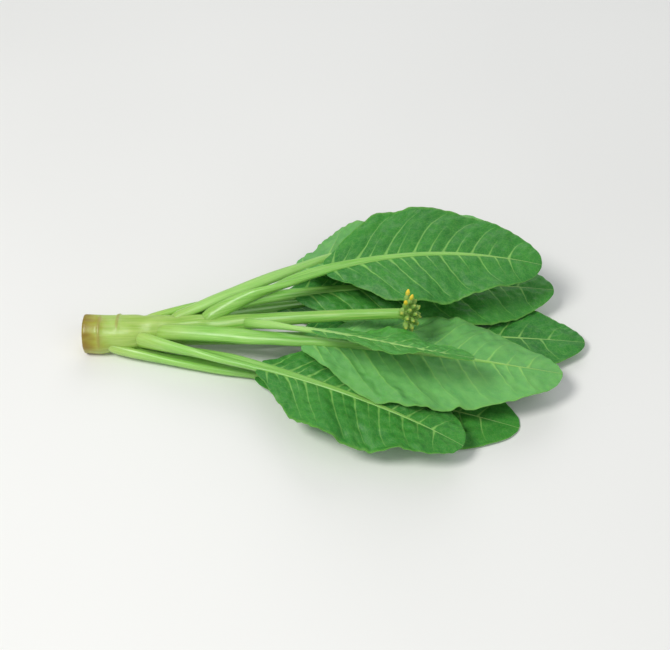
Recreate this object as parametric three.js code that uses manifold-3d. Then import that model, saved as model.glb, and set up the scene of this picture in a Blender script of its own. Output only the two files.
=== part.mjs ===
// Choy sum: one whole plant as picked, lying on a surface.
// Units are millimetres. +X runs from the cut end to the leaf tips and +Z is up. The surface is z = 0,
// and the origin is on it, in the middle of the flat spot that the stub rests on.
import * as THREE from "three";
import { mergeVertices } from "three/addons/utils/BufferGeometryUtils.js";
import Module from "manifold-3d";

const wasm = await Module();
wasm.setup();

// Stem: a straight stub that rises into the thin flowering shoot
const CUT_X = -14; // where the cut end is
const AXIS_HEIGHT = 9.6; // of the stub, a little less than its radius, so it has a flat spot underneath
const STUB_RADIUS = 10;
const SHOOT_RADIUS = 2.7;
const FULL_LENGTH = 12; // of the stub, before it starts to taper
const TAPER_LENGTH = 60;
const TAPER_POWER = 1.4;
const RIM_FLARE = 0.5; // at the cut end
const RIM_LENGTH = 3;
const STRAIGHT_LENGTH = 30; // of the stub, before the shoot starts to rise
const STEM_LENGTH = 174;
const SHOOT_RISE = 32;
const RISE_POWER = 1.15;
const SHOOT_LEAN = -17;
const STEM_ROWS = [28, 40, 52, 64, 78, 92, 108, 124, 142, 160];
const STEM_SIDES = 16;

// Scars of leaves taken off the stub: distance from the cut end, and the angle round the stem, 0 on top
const SCARS = [
  { distance: 9, around: -35 },
  { distance: 19, around: 25 },
];
const SCAR_HEIGHT = 0.8;
const SCAR_WIDTH = 1.6;

// Leaf stalks and the midribs that they run on as
const STALK_HALF_WIDTH = 4.5;
const STALK_HALF_THICKNESS = 3.8;
const ROOT_LEAD = 8; // how far before its joint a stalk's line starts, inside the stem
const ROOT_DEPTH = 0.42; // of that start, as a share of the stem's radius
const ROOT_FLARE = 0.22;
const FLARE_SHARE = 0.12; // of the stalk's length
const THICKNESS_AT_ROOT = 1.08; // shares of STALK_HALF_THICKNESS
const THICKNESS_AT_BLADE = 0.8;
const RIB_START = 0.78; // the midrib's first width, as a share of the stalk's
const RIB_END_HALF_WIDTH = 0.7;
const RIB_TAPER_POWER = 0.62;
const RIB_REACH = 0.9; // the share of the blade over which it thins
const RIB_ROUNDNESS = 0.95; // its thickness over its width
const STALK_ROWS = 7;
// Round underneath, with a shallow channel on the upper side
const STALK_SECTION = [
  [1, 0],
  [0.72, 0.5],
  [0, 0.3],
  [-0.72, 0.5],
  [-1, 0],
  [-0.74, -0.7],
  [0, -1],
  [0.74, -0.7],
];

// Blades
const BLADE_THICKNESS = 0.9;
const TIP_HALF_WIDTH = 0.8;
const EGG_SKEW = 0.9; // below 1 the widest place is nearer the stalk
const EGG_ROUNDNESS = 0.55;
const BASE_NARROWING = 0.55; // how much narrower the blade starts than a full egg
const BASE_SHARE = 0.34; // of the blade, over which it fills out
const EDGE_UNEVENNESS = 0.04;
const EDGE_LOBES = 2.1;
const SIDE_SHIFT = 0.37; // between the waves of the two edges
const WAVE_REACH = 1.6; // the higher, the nearer the edge the waves stay
const COLUMNS = [0, 0.3, 0.6, 0.85, 1]; // across half a blade, from the midrib to the edge
const TIP_CROWDING = 1.35; // rows crowd towards the tip, which is round
const BARE_ROWS = 2; // the last rows of a blade, which the midrib doesn't reach
const RIB_CLEARANCE = 0.012; // the share of the blade between the midrib's end and where its halves meet

// Buds, on short stalks of their own
const HEAD_RADIUS = 3.4; // of the core that they stand on
const BUD_COUNT = 26;
const BUD_SIDES = 6;
const BUD_RADIUS = 1.9;
const BUD_LENGTH = 5.2;
const BUD_STALK_LENGTH = 2.8;
const BUD_STALK_RADIUS = 0.55;
const YOUNGEST_SIZE = 0.62; // of the middle buds, as a share of the outer ones
const GOLDEN_ANGLE = 137.508;

const GAP = 0.3; // between pieces that touch
const SETTLE = 3; // how softly a leaf flattens onto the surface
const WELD = 1e-4;

// Leaves, from the lowest one up. joint is how far from the cut end the leaf leaves the stem, and around is
// the angle round the stem, 0 on top and positive to the back. bend and reach are the middle handles of its
// line, and tip is its end. bladeFrom is the share of the line where the blade starts, turn the last roll of
// the blade about the line (180 shows its underside), fold and curl its cross-section, and wave its edge.
const LEAVES = [
  {
    name: "leaf_1",
    joint: 12,
    around: -134,
    bend: [52, -24, 4],
    reach: [134, -28, 3],
    tip: [222, -62, 0],
    bladeFrom: 0.44,
    halfWidth: 35,
    turn: 4,
    fold: 0.16,
    curl: 0.14,
    wave: 3.6,
    cycles: 2.6,
    phase: 0.1,
    size: 1,
    rows: 14,
  },
  {
    name: "leaf_2",
    joint: 15,
    around: 128,
    bend: [54, 24, 4],
    reach: [140, 31, 3],
    tip: [232, 62, 0],
    bladeFrom: 0.46,
    halfWidth: 35,
    turn: -5,
    fold: 0.12,
    curl: 0.12,
    wave: 3.2,
    cycles: 2.3,
    phase: 0.55,
    size: 1,
    rows: 14,
  },
  {
    name: "leaf_3",
    joint: 44,
    around: -172,
    bend: [78, -1, 3],
    reach: [160, 2, 13],
    tip: [264, -4, 6],
    bladeFrom: 0.42,
    halfWidth: 33,
    turn: 3,
    fold: 0.1,
    curl: 0.1,
    wave: 2.8,
    cycles: 2.2,
    phase: 0.3,
    size: 0.92,
    rows: 14,
  },
  {
    name: "leaf_4",
    joint: 30,
    around: -74,
    bend: [58, -24, 18],
    reach: [126, -44, 22],
    tip: [190, -84, 13],
    bladeFrom: 0.45,
    halfWidth: 30,
    turn: 4,
    fold: 0.2,
    curl: 0.2,
    wave: 3.6,
    cycles: 2.4,
    phase: 0.8,
    size: 0.95,
    rows: 14,
  },
  {
    name: "leaf_5",
    joint: 33,
    around: 72,
    bend: [62, 20, 17],
    reach: [150, 35, 23],
    tip: [250, 30, 14],
    bladeFrom: 0.46,
    halfWidth: 33,
    turn: -5,
    fold: 0.12,
    curl: 0.16,
    wave: 3.2,
    cycles: 2.5,
    phase: 0.2,
    size: 1,
    rows: 14,
  },
  {
    name: "leaf_6",
    joint: 42,
    around: -26,
    bend: [72, -18, 26],
    reach: [150, -28, 30],
    tip: [246, -38, 17],
    bladeFrom: 0.46,
    halfWidth: 32,
    turn: 180,
    fold: 0.1,
    curl: -0.05,
    wave: 2.8,
    cycles: 2.4,
    phase: 0.65,
    size: 1,
    rows: 14,
  },
  {
    name: "leaf_7",
    joint: 50,
    around: 36,
    bend: [76, 16, 31],
    reach: [142, 46, 40],
    tip: [214, 76, 26],
    bladeFrom: 0.46,
    halfWidth: 31,
    turn: -170,
    fold: 0.12,
    curl: -0.05,
    wave: 3,
    cycles: 2.3,
    phase: 0.4,
    size: 0.95,
    rows: 14,
  },
  {
    name: "leaf_8",
    joint: 69,
    around: 0,
    bend: [94, 10, 43],
    reach: [160, 36.5, 52],
    tip: [240, 26, 37],
    bladeFrom: 0.44,
    halfWidth: 30,
    turn: -12,
    fold: 0.16,
    curl: 0.14,
    wave: 3.2,
    cycles: 2.4,
    phase: 0.9,
    size: 0.88,
    rows: 14,
  },
  {
    name: "leaf_9",
    joint: 94,
    around: -60,
    bend: [110, -22, 40],
    reach: [150, -49, 50],
    tip: [196, -52, 44],
    bladeFrom: 0.36,
    halfWidth: 16,
    turn: 30,
    fold: 0.2,
    curl: 0.1,
    wave: 1.8,
    cycles: 2.2,
    phase: 0.15,
    size: 0.6,
    rows: 10,
  },
];

const radians = THREE.MathUtils.degToRad;
const lerp = THREE.MathUtils.lerp;
const smooth = (x) => THREE.MathUtils.smoothstep(x, 0, 1);
const UP = new THREE.Vector3(0, 0, 1);
const FORWARD = new THREE.Vector3(0, 1, 0); // the axis of a lathed shape

// A height that never goes below the floor, and meets it softly.
function settle(height, floor) {
  const above = height - floor;
  if (above > SETTLE) return height;
  if (above < -SETTLE) return floor;
  return floor + (above + SETTLE) ** 2 / (4 * SETTLE);
}

// Geometry from points and triangles given as index triples.
function solidFrom(points, triangles) {
  const positions = new Float32Array(points.flatMap((p) => [p.x, p.y, p.z]));
  const geometry = new THREE.BufferGeometry();
  geometry.setAttribute("position", new THREE.BufferAttribute(positions, 3));
  geometry.setIndex(triangles.flat());
  return mergeVertices(geometry, WELD);
}

// One of three.js's own closed geometries with its shared points merged.
function welded(geometry) {
  geometry.deleteAttribute("normal");
  geometry.deleteAttribute("uv");
  return mergeVertices(geometry, WELD);
}

function toManifold(geometry) {
  const vertProperties = geometry.attributes.position.array;
  const triVerts = new Uint32Array(geometry.index.array);
  return new wasm.Manifold(new wasm.Mesh({ numProp: 3, vertProperties, triVerts }));
}

function fromManifold(solid) {
  const mesh = solid.getMesh();
  const geometry = new THREE.BufferGeometry();
  geometry.setAttribute("position", new THREE.BufferAttribute(mesh.vertProperties, 3));
  geometry.setIndex(new THREE.BufferAttribute(mesh.triVerts, 1));
  return geometry;
}

// Skin over a row of closed rings with the same number of points, with a fan at each end.
function skin(rings) {
  const sides = rings[0].length;
  const points = rings.flat();
  const triangles = [];
  for (let row = 0; row + 1 < rings.length; row++) {
    for (let side = 0; side < sides; side++) {
      const a = row * sides + side;
      const b = row * sides + ((side + 1) % sides);
      triangles.push([a, b + sides, b], [a, a + sides, b + sides]);
    }
  }
  for (const row of [0, rings.length - 1]) {
    const centre = points.length;
    points.push(rings[row].reduce((sum, p) => sum.add(p), new THREE.Vector3()).divideScalar(sides));
    for (let side = 0; side < sides; side++) {
      const a = row * sides + side;
      const b = row * sides + ((side + 1) % sides);
      triangles.push(row === 0 ? [a, b, centre] : [b, a, centre]);
    }
  }
  return solidFrom(points, triangles);
}

// Stem

// The middle of the stem at a distance from the cut end.
function stemPoint(distance) {
  const along = Math.max(0, distance - STRAIGHT_LENGTH) / (STEM_LENGTH - STRAIGHT_LENGTH);
  const height = AXIS_HEIGHT + SHOOT_RISE * along ** RISE_POWER;
  return new THREE.Vector3(CUT_X + distance, SHOOT_LEAN * along ** 2, height);
}

function stemRadius(distance) {
  const taper = Math.exp(-((Math.max(0, distance - FULL_LENGTH) / TAPER_LENGTH) ** TAPER_POWER));
  const flare = RIM_FLARE * Math.exp(-distance / RIM_LENGTH);
  return lerp(SHOOT_RADIUS, STUB_RADIUS, taper) + flare;
}

// How far a leaf scar stands out of the stub. angle runs from underneath round the front.
function scarHeight(distance, angle) {
  let height = 0;
  for (const scar of SCARS) {
    const facing = Math.cos(angle - Math.PI - radians(scar.around));
    const along = Math.max(0, 1 - Math.abs(distance - scar.distance) / SCAR_WIDTH);
    height += SCAR_HEIGHT * along * smooth(2 * facing - 0.6);
  }
  return height;
}

function stemRing(distance, extra) {
  const centre = stemPoint(distance);
  const along = stemPoint(distance + 0.5).sub(centre).normalize();
  const side = new THREE.Vector3().crossVectors(along, UP).normalize();
  const up = new THREE.Vector3().crossVectors(side, along);
  const ring = [];
  for (let k = 0; k < STEM_SIDES; k++) {
    const angle = ((k + 0.5) * 2 * Math.PI) / STEM_SIDES;
    const radius = stemRadius(distance) + scarHeight(distance, angle) + extra;
    const point = centre.clone().addScaledVector(side, radius * Math.sin(angle));
    point.addScaledVector(up, -radius * Math.cos(angle));
    point.z = Math.max(point.z, -extra);
    ring.push(point);
  }
  return ring;
}

// The stem, grown by extra on every side.
function stemGeometry(extra = 0) {
  const scarRows = SCARS.flatMap(({ distance }) => [-SCAR_WIDTH, 0, SCAR_WIDTH].map((x) => distance + x));
  const rows = [-extra, RIM_LENGTH / 2, ...STEM_ROWS, STEM_LENGTH + extra, ...scarRows];
  rows.sort((a, b) => a - b);
  return skin(rows.map((distance) => stemRing(distance, extra)));
}

// Leaves

// The leaf's line, and the frame on it: side is across the blade, face out of its upper side.
function leafLine(leaf) {
  const around = radians(leaf.around);
  const root = stemPoint(leaf.joint - ROOT_LEAD);
  const depth = ROOT_DEPTH * stemRadius(leaf.joint);
  root.y += depth * Math.sin(around);
  root.z += depth * Math.cos(around);
  const handles = [leaf.bend, leaf.reach, leaf.tip].map((p) => new THREE.Vector3(...p));
  const curve = new THREE.CubicBezierCurve3(root, ...handles);
  // At the root the upper side faces the stem's axis.
  const startRoll = leaf.around > 0 ? leaf.around - 180 : leaf.around + 180;
  return (t) => {
    const along = curve.getTangent(t);
    const level = new THREE.Vector3().crossVectors(along, UP).normalize();
    const upright = new THREE.Vector3().crossVectors(level, along);
    const roll = radians(lerp(startRoll, leaf.turn, smooth(t / leaf.bladeFrom)));
    const side = level.clone().multiplyScalar(Math.cos(roll)).addScaledVector(upright, Math.sin(roll));
    const face = upright.clone().multiplyScalar(Math.cos(roll)).addScaledVector(level, -Math.sin(roll));
    return { point: curve.getPoint(t), side, face };
  };
}

// The blade's rows as shares of its length, and how many of them the midrib reaches.
function bladeRows(leaf) {
  const shares = [];
  for (let row = 0; row <= leaf.rows; row++) shares.push(1 - (1 - row / leaf.rows) ** TIP_CROWDING);
  const ribRows = leaf.rows - BARE_ROWS;
  shares.splice(ribRows, 0, shares[ribRows - 1] + RIB_CLEARANCE);
  return { shares, ribRows };
}

// Half the width of the stalk, and of the midrib at share u of the blade's length.
const stalkHalfWidth = (leaf) => STALK_HALF_WIDTH * leaf.size;
function ribHalfWidth(leaf, u) {
  const taper = Math.min(1, u / RIB_REACH) ** RIB_TAPER_POWER;
  return lerp(RIB_START * stalkHalfWidth(leaf), RIB_END_HALF_WIDTH, taper);
}

// Half the width of the blade, an egg shape with a slightly uneven edge. half is -1 or 1.
function bladeHalfWidth(leaf, u, half) {
  const egg = Math.sin(Math.PI * u ** EGG_SKEW) ** EGG_ROUNDNESS;
  const base = 1 - BASE_NARROWING * (1 - smooth(u / BASE_SHARE));
  const lobe = EDGE_LOBES * u + leaf.phase + SIDE_SHIFT * half;
  return TIP_HALF_WIDTH + leaf.halfWidth * egg * base * (1 + EDGE_UNEVENNESS * Math.sin(2 * Math.PI * lobe));
}

// A point of the blade's middle layer. v runs from 0 at the midrib to 1 at the edge.
function bladePoint(leaf, line, u, onRib, v, half) {
  const { point, side, face } = line(lerp(leaf.bladeFrom, 1, u));
  const inner = onRib ? ribHalfWidth(leaf, u) + GAP : 0;
  const width = bladeHalfWidth(leaf, u, half);
  const turns = leaf.cycles * u + leaf.phase + (half > 0 ? SIDE_SHIFT : 0);
  const swell = Math.sin(Math.PI * u) ** EGG_ROUNDNESS * v ** WAVE_REACH;
  const out = width * (leaf.fold * v - leaf.curl * v * v) + leaf.wave * swell * Math.sin(2 * Math.PI * turns);
  point.addScaledVector(side, half * (inner + width * v)).addScaledVector(face, out);
  point.z = settle(point.z, BLADE_THICKNESS / 2);
  return point;
}

function bladeGeometry(leaf) {
  const line = leafLine(leaf);
  const { shares, ribRows } = bladeRows(leaf);
  const middle = [];
  const grids = [1, -1].map((half) =>
    shares.map((u, row) =>
      COLUMNS.map((v) => middle.push(bladePoint(leaf, line, u, row < ribRows, v, half)) - 1),
    ),
  );
  // Beyond the midrib the two halves share their innermost points.
  for (let row = ribRows; row < shares.length; row++) grids[1][row][0] = grids[0][row][0];
  const faces = [];
  grids.forEach((grid, side) => {
    for (let row = 0; row + 1 < grid.length; row++) {
      for (let column = 0; column + 1 < COLUMNS.length; column++) {
        const [a, d] = grid[row].slice(column, column + 2);
        const [b, c] = grid[row + 1].slice(column, column + 2);
        faces.push(...(side === 0 ? [[a, c, b], [a, d, c]] : [[a, b, c], [a, c, d]]));
      }
    }
  });
  return thicken(middle, faces, BLADE_THICKNESS);
}

// A sheet given as points and triangles, made into a closed solid with both faces split alike.
function thicken(middle, faces, thickness) {
  const normals = middle.map(() => new THREE.Vector3());
  const open = new Map();
  for (const face of faces) {
    const [a, b, c] = face.map((i) => middle[i]);
    const normal = b.clone().sub(a).cross(c.clone().sub(a));
    face.forEach((i, k) => {
      normals[i].add(normal);
      const j = face[(k + 1) % 3];
      if (!open.delete(`${j},${i}`)) open.set(`${i},${j}`, [i, j]);
    });
  }
  const count = middle.length;
  const layer = (sign) =>
    middle.map((point, i) => {
      const moved = point.clone().addScaledVector(normals[i].normalize(), (sign * thickness) / 2);
      // On the surface the lower face is flat on it.
      moved.z = Math.max(moved.z, moved.z < point.z ? 0 : thickness);
      return moved;
    });
  const triangles = faces.flatMap(([a, b, c]) => [
    [a, b, c],
    [a + count, c + count, b + count],
  ]);
  for (const [i, j] of open.values()) triangles.push([j, i, i + count], [j, i + count, j + count]);
  return solidFrom([...layer(1), ...layer(-1)], triangles);
}

function stalkGeometry(leaf, cutter) {
  const line = leafLine(leaf);
  const ringAt = (t, halfWidth, halfThickness) => {
    const { point, side, face } = line(t);
    return STALK_SECTION.map(([x, y]) => {
      const p = point.clone().addScaledVector(side, halfWidth * x).addScaledVector(face, halfThickness * y);
      p.z = Math.max(p.z, 0);
      return p;
    });
  };
  const rings = [];
  const halfThickness = STALK_HALF_THICKNESS * leaf.size;
  for (let row = 0; row < STALK_ROWS; row++) {
    const share = row / STALK_ROWS;
    const flare = 1 + ROOT_FLARE * Math.exp(-share / FLARE_SHARE);
    const thinning = lerp(THICKNESS_AT_ROOT, THICKNESS_AT_BLADE, share);
    rings.push(ringAt(share * leaf.bladeFrom, stalkHalfWidth(leaf) * flare, halfThickness * thinning));
  }
  const { shares, ribRows } = bladeRows(leaf);
  for (const u of shares.slice(0, ribRows)) {
    const halfWidth = ribHalfWidth(leaf, u);
    const ribHalfThickness = u === 0 ? THICKNESS_AT_BLADE * halfThickness : RIB_ROUNDNESS * halfWidth;
    rings.push(ringAt(lerp(leaf.bladeFrom, 1, u), halfWidth, ribHalfThickness));
  }
  return fromManifold(toManifold(skin(rings)).subtract(cutter));
}

// Buds

// A bud on its stalk, standing on the origin along FORWARD.
function budGeometry(size, stalkLength) {
  const length = BUD_LENGTH * size;
  const profile = [
    [0, 0],
    [BUD_STALK_RADIUS, 0],
    [BUD_STALK_RADIUS, stalkLength],
    [BUD_RADIUS * size, stalkLength + 0.4 * length],
    [0.6 * BUD_RADIUS * size, stalkLength + 0.85 * length],
    [0, stalkLength + length],
  ];
  return welded(new THREE.LatheGeometry(profile.map(([x, y]) => new THREE.Vector2(x, y)), BUD_SIDES));
}

// The flower buds at the end of the shoot, spiralling out from the youngest in the middle.
function budHeadGeometry(cutter) {
  const end = stemPoint(STEM_LENGTH);
  const along = end.clone().sub(stemPoint(STEM_LENGTH - 1)).normalize();
  const centre = end.clone().addScaledVector(along, HEAD_RADIUS / 2);
  const core = welded(new THREE.SphereGeometry(HEAD_RADIUS, 8, 6));
  let head = toManifold(core.translate(...centre.toArray()));
  const toAlong = new THREE.Quaternion().setFromUnitVectors(FORWARD, along);
  for (let k = 0; k < BUD_COUNT; k++) {
    const share = (k + 0.5) / BUD_COUNT;
    const lean = radians(lerp(4, 96, share ** 0.6));
    const spin = radians(k * GOLDEN_ANGLE);
    const out = new THREE.Vector3(Math.cos(spin), 0, Math.sin(spin)).multiplyScalar(Math.sin(lean));
    out.addScaledVector(FORWARD, Math.cos(lean)).applyQuaternion(toAlong);
    const size = lerp(YOUNGEST_SIZE, 1, share);
    const bud = budGeometry(size, HEAD_RADIUS / 2 + BUD_STALK_LENGTH * share ** 1.4);
    bud.applyQuaternion(new THREE.Quaternion().setFromUnitVectors(FORWARD, out));
    bud.translate(...centre.clone().addScaledVector(out, HEAD_RADIUS / 2).toArray());
    head = head.add(toManifold(bud));
  }
  return fromManifold(head.subtract(cutter));
}

// Parts

const material = (color, roughness) => new THREE.MeshStandardMaterial({ color, roughness, metalness: 0 });
const stemMaterial = material(0xb5c46a, 0.45);
const stalkMaterial = material(0xa9d184, 0.4);
const bladeMaterial = material(0x3f8a4a, 0.5);
const budMaterial = material(0x9db34c, 0.5);

function named(name, geometry, itsMaterial) {
  const mesh = new THREE.Mesh(geometry, itsMaterial);
  mesh.name = name;
  return mesh;
}

const plant = new THREE.Group();
const stemCutter = toManifold(stemGeometry(GAP));
plant.add(named("stem", stemGeometry(), stemMaterial));
plant.add(named("bud_head", budHeadGeometry(stemCutter), budMaterial));
for (const leaf of LEAVES) {
  plant.add(named(`${leaf.name}_stalk`, stalkGeometry(leaf, stemCutter), stalkMaterial));
  plant.add(named(`${leaf.name}_blade`, bladeGeometry(leaf), bladeMaterial));
}

export default plant;
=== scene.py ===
"""Choy sum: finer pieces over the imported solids, their materials, and the floor, light and camera.

Lengths are millimetres until a mesh is made, in the frame of the solids: +X runs from the cut end to the
leaf tips, +Z is up, and z = 0 is the surface that the plant lies on. The shapes follow the same formulas
and most of the values of the solids, with more points, and add what is too fine for them.
"""

from types import SimpleNamespace

import bpy
import numpy as np
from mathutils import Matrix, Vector


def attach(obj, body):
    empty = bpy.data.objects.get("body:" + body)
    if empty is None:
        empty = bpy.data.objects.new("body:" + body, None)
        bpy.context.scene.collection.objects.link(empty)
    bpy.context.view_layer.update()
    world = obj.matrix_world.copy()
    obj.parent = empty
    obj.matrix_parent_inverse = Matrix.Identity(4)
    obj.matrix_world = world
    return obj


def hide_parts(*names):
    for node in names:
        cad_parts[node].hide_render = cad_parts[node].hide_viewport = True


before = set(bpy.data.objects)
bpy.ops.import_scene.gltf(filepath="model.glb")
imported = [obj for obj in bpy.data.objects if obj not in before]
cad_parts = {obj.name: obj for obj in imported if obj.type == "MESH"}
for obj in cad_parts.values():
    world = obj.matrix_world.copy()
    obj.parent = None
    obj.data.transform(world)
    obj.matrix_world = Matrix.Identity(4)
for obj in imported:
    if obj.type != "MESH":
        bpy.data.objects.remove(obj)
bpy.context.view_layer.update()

MM = 0.001  # metres in a millimetre
UP = np.array([0.0, 0.0, 1.0])
FAR = 1e3
RIPPLE_WAVES = 9
SEED = 10

# Stem, as in the solids
CUT_X = -14.0
AXIS_HEIGHT = 9.6
STUB_RADIUS = 10.0
SHOOT_RADIUS = 2.7
FULL_LENGTH = 12.0
TAPER_LENGTH = 60.0
TAPER_POWER = 1.4
RIM_FLARE = 0.5
RIM_LENGTH = 3.0
STRAIGHT_LENGTH = 30.0
STEM_LENGTH = 174.0
SHOOT_RISE = 32.0
RISE_POWER = 1.15
SHOOT_LEAN = -17.0
SCARS = [(9.0, -35.0), (19.0, 25.0)]  # distance from the cut end, and angle round the stem
SCAR_HEIGHT = 0.8
SCAR_WIDTH = 1.6

# Stem, finer
RISE_SOFTNESS = 4.0  # the bend where it starts to rise, which the solid's rows blur by themselves
STEM_SIDES = 96
STEM_ROWS = 190
RIDGE_COUNT = 9  # shallow ridges that run along the stem
RIDGE_HEIGHT = 0.12
RIDGE_TWIST = 60.0  # mm of stem for each radian that they turn
STEM_LUMPS = 0.16
STEM_LUMP_PITCH = 14.0
SCAR_FULL = 0.8  # cosine of the angle from a scar's middle to where it starts to fade
SCAR_END = 0.3
NODE_SWELL = 1.15  # where a leaf joins
NODE_RUN = 16.0  # how far the swelling runs down the stem from the leaf
NODE_END = 5.0
NODE_NARROWING = (2.4, 1.3)  # of the swelling far down the stem, and at the leaf
NODE_WIDE_SHARE = 0.6  # of NODE_RUN over which it is wide
CUT_RINGS = 26
CUT_BEVEL = 0.35
BEVEL_SHARE = 0.96  # of the cut face's radius, as the shares below
BEVEL_WIDTH = 0.08
PITH_SHARE = 0.66
PITH_SOFTNESS = 0.3
PITH_SINK = 0.44  # the soft middle dries and sinks
FIBRE_SHARE = 0.74
FIBRE_WIDTH = 0.07
FIBRE_RISE = 0.16  # the woody ring stands a little proud
CUT_MARK_HEIGHT = 0.07
CUT_MARK_PITCH = 1.7
CUT_MARK_SLOPE = (0.8, 0.6)  # the knife's way across the face

# Leaf stalks and midribs, as in the solids
STALK_HALF_WIDTH = 4.5
STALK_HALF_THICKNESS = 3.8
ROOT_LEAD = 8.0
ROOT_DEPTH = 0.42
THICKNESS_AT_ROOT = 1.08
THICKNESS_AT_BLADE = 0.8
RIB_START = 0.78
RIB_END_HALF_WIDTH = 0.7
RIB_TAPER_POWER = 0.62
RIB_REACH = 0.9

# Leaf stalks, finer
ROOT_FLARE = 0.95  # the clasping foot of a stalk
FLARE_SHARE = 0.1
CLASP = 0.3  # how far the foot's edges bend round the stem
ROOT_THINNING = 0.2
ROOT_DIVE = 4.6  # how far the foot of a stalk sinks into the stem
DIVE_SHARE = 0.17
STALK_SIDES = 36
STALK_ROWS = 64
RIB_ROWS = 84
RIB_POINT = 0.16  # half width of the midrib at the leaf's tip
GROOVE_DEPTH = 0.3  # of the channel along the upper side, as a share of the half thickness
GROOVE_WIDTH = 0.42
UPPER_BULGE = 0.62
UPPER_ROUNDNESS = 0.8
LOWER_ROUNDNESS = 0.92
STALK_RIDGES = 9
STALK_RIDGE_HEIGHT = 0.022
STALK_LUMPS = 0.035
STALK_LUMP_PITCH = 30.0
LUMP_SPREAD = 6.0  # mm across for a radian round the stalk
RIDGES_UP_TO = 0.2
NECK_SHARE = 0.72  # of the stalk, from where its width goes over to the midrib's
RIB_BULGE = 0.42
RIB_GROOVE = 0.08
RIB_THICKNESS = 0.95  # of its width
RIB_THINS_BY = 0.25  # share of the blade over which the stalk's thickness goes over to the midrib's
RIB_SHAPED_BY = 0.3
RIB_CROWDING = 1.1  # its rows lie closer towards the stalk
POINT_SHARE = 0.62  # of the blade, from where the midrib thins to its point
ROOT_FILLING = 0.4  # how much of the groove is gone at the foot

# Blades, as in the solids
BLADE_THICKNESS = 0.9
TIP_HALF_WIDTH = 0.8
EGG_SKEW = 0.9
EGG_ROUNDNESS = 0.55
BASE_NARROWING = 0.55
BASE_SHARE = 0.34
EDGE_UNEVENNESS = 0.04
EDGE_LOBES = 2.1
SIDE_SHIFT = 0.37
WAVE_REACH = 1.6
GAP = 0.3
SETTLE = 3.0

# Blades, finer
BLADE_ROWS = 200  # for a leaf of size 1
BLADE_COLUMNS = 56  # for half a blade
RIB_COLUMNS = 2  # of those, the ones hidden in the midrib
MIDDLE_THICKNESS = 0.62
EDGE_THICKNESS = 0.34
EDGE_ROUNDING = 0.03  # share of the half width over which the edge thins to nothing
QUILT_HEIGHT = 1.25  # how far the blade bulges between its side veins
QUILT_REACH = 3.4
QUILT_LEVEL = 0.6
SMALL_QUILT_HEIGHT = 0.3
SMALL_QUILT_REACH = 1.7
RIDGE_UNDER = 0.42  # how far a side vein stands out of the underside
PUCKER_HEIGHT = 0.27
SWAY_HEIGHT = 0.85
RUFFLE_HEIGHT = 0.95
RUFFLE_REACH = 4.0
NIBBLE = 0.011  # fine unevenness of the edge, as a share of the half width
PUCKER_PITCH = 5.5
SWAY_PITCH = 34.0
EDGE_PITCH = 13.0
NIBBLE_PITCH = 4.5
FINE_NIBBLES = 0.4  # share of the finer noise, as below
FINE_RUFFLES = 0.5
NIBBLE_ROW = 40  # where the noises are read, times the side, so that the two halves differ
RUFFLE_ROWS = (17, 9)
RUFFLE_STRETCH = (0.9, 0.7)
QUILT_FROM = 9.0  # mm from the midrib at which the quilting has its full level, and so on
PUCKER_FROM = 3.0
SWAY_FROM = 14.0
CALM = 0.75  # how much of the quilting is gone at the edge
CALM_SHARE = 0.8  # of the half width, from where it calms
END_FADE = 0.4  # power that fades the relief towards both ends of the blade
FOOT_HIDDEN = 0.82  # of the midrib's half width, from where the blade starts
ROW_CROWDING = 0.72  # towards the ends of the blade
COLUMN_CROWDING = 1.22  # towards the edge
THIN_BY = 0.9  # share of the half width at which the blade has thinned to its edge thickness
END_ROUNDING = 0.01
TIP_SHARE = 0.98

# Side veins
VEIN_COUNT = 8  # on each side of a leaf of size 1
FEWEST_VEINS = 5
VEIN_HALF_WIDTH = 0.6
VEIN_FOOT = 0.5  # how much wider a vein is where it leaves the midrib
VEIN_SWEEP = 0.23  # how much nearer the tip a vein ends than it starts, as a share of the blade
SWEEP_START = 0.16  # the lowest veins leave the midrib more squarely
SWEEP_END_POWER = 2.4
SWEEP_STRAIGHT = 0.72
ROW_UNEVENNESS = 0.07  # of that sweep from vein to vein
VEIN_JITTER = 0.16
FIRST_VEIN = 0.012  # share of the blade at which the veins start
VEIN_SPAN = 0.93
VEIN_CROWDING = 1.1
UPPER_VEIN = 0.62  # of a side vein near the tip, as a share of one near the stalk
VEIN_TAPER = 0.6
VEIN_FOOT_REACH = 2.5
LEAST_VEIN = 0.12
VEIN_FADES = 0.82  # share of its reach from where a vein fades out
VEIN_FADE = 0.16
SMALL_VEIN = 0.55  # of the smaller veins between the side veins, as a share of a side vein
SMALL_VEIN_PLACE = (0.42, 0.58)
SMALL_VEIN_REACH = (0.45, 0.72)
FORK = 0.6  # of a fork, as a share of its vein
FORK_FROM = (0.35, 0.55)  # share of the half width at which a fork leaves its vein
FORK_SPREAD = 0.5  # how far a fork gets towards the vein before
FORK_POWER = 0.85

# Buds, as in the solids
HEAD_RADIUS = 3.4
BUD_COUNT = 26
BUD_RADIUS = 1.9
BUD_LENGTH = 5.2
BUD_SKEW = 0.8
BUD_ROUNDNESS = 0.62
BUD_TAPER = 0.16
BUD_STALK_RADIUS = 0.55
YOUNGEST_SIZE = 0.62
GOLDEN_ANGLE = 137.508

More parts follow.
